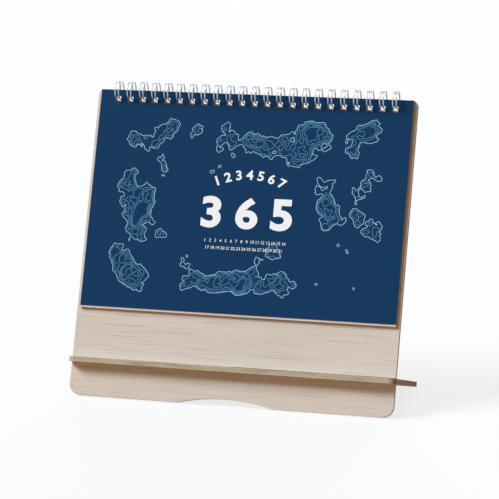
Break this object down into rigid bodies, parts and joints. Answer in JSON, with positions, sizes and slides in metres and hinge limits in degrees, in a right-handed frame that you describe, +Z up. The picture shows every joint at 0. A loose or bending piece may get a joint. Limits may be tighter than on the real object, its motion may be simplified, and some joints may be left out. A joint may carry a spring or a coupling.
{
  "type": "desk calendar",
  "caption": "Leaning desk calendar: a thin board with a pad of turning sheets on a twin-loop wire comb, propped by a slotted cross plate whose front edge is a narrow ledge.",
  "frame": {"origin": "centre of the footprint's bounding box, on the desk", "axes": "+Z up from the desk; the pad and the ledge face -Y; +X runs along the board, to the right of someone who reads the calendar"},
  "size_m": [0.2166, 0.0796, 0.1978],
  "materials": {
    "board_wood": "matt pale veneer with fine grain, dark laser-cut edges",
    "plate_wood": "matt pale veneer with fine grain, dark laser-cut edges",
    "wire": "white enamel",
    "cover_paper": "matt dark blue print",
    "month_paper": "matt uncoated"
  },
  "bodies": {
    "stand": {"back_board": "board_wood", "wire_binding": "wire"},
    "support_plate": {"support_plate": "plate_wood"},
    "month_sheet_6": {"month_sheet_6": "month_paper"},
    "month_sheet_5": {"month_sheet_5": "month_paper"},
    "month_sheet_4": {"month_sheet_4": "month_paper"},
    "month_sheet_3": {"month_sheet_3": "month_paper"},
    "month_sheet_2": {"month_sheet_2": "month_paper"},
    "month_sheet_1": {"month_sheet_1": "month_paper"},
    "cover_sheet": {"cover_sheet": "cover_paper"}
  },
  "joints": [
    {"name": "plate_slide", "type": "slide", "parent": "stand", "child": "support_plate", "axis": [1, 0, 0], "range_m": [0, 0.1083]},
    {"name": "month_sheet_6_turn", "type": "hinge", "parent": "stand", "child": "month_sheet_6", "pos_m": [0, 0.03002, 0.19211], "axis": [-1, 0, 0], "range_deg": [0, 240]},
    {"name": "month_sheet_5_turn", "type": "hinge", "parent": "month_sheet_6", "child": "month_sheet_5", "pos_m": [0, 0.03002, 0.19211], "axis": [-1, 0, 0], "range_deg": [0, 240]},
    {"name": "month_sheet_4_turn", "type": "hinge", "parent": "month_sheet_5", "child": "month_sheet_4", "pos_m": [0, 0.03002, 0.19211], "axis": [-1, 0, 0], "range_deg": [0, 240]},
    {"name": "month_sheet_3_turn", "type": "hinge", "parent": "month_sheet_4", "child": "month_sheet_3", "pos_m": [0, 0.03002, 0.19211], "axis": [-1, 0, 0], "range_deg": [0, 240]},
    {"name": "month_sheet_2_turn", "type": "hinge", "parent": "month_sheet_3", "child": "month_sheet_2", "pos_m": [0, 0.03002, 0.19211], "axis": [-1, 0, 0], "range_deg": [0, 240]},
    {"name": "month_sheet_1_turn", "type": "hinge", "parent": "month_sheet_2", "child": "month_sheet_1", "pos_m": [0, 0.03002, 0.19211], "axis": [-1, 0, 0], "range_deg": [0, 240]},
    {"name": "cover_sheet_turn", "type": "hinge", "parent": "month_sheet_1", "child": "cover_sheet", "pos_m": [0, 0.03002, 0.19211], "axis": [-1, 0, 0], "range_deg": [0, 240]}
  ]
}
